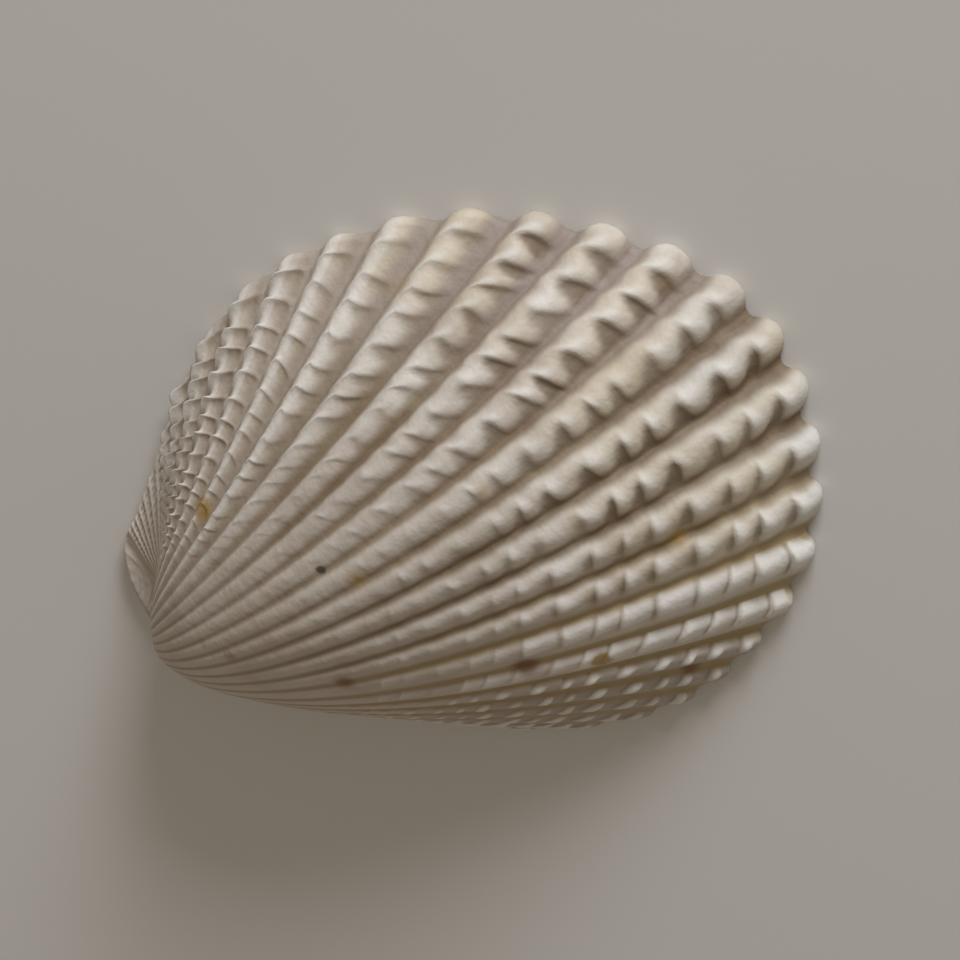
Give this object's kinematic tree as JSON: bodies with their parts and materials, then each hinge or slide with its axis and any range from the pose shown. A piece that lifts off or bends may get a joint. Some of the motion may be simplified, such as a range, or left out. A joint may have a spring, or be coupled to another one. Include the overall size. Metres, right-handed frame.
{
  "type": "cockle shell",
  "caption": "One hollow half of a cockle shell, oval with fanned ribs and rows of scales, lying on its flat rim.",
  "frame": {"origin": "on the table under the middle of the shell", "axes": "+Y from the beak to the lower margin, +X along the hinge to the rear of the shell, +Z out of the convex side"},
  "size_m": [0.0442, 0.055, 0.0144],
  "materials": {
    "shell": "matte"
  },
  "bodies": {
    "root": {"valve": "shell"}
  },
  "joints": []
}
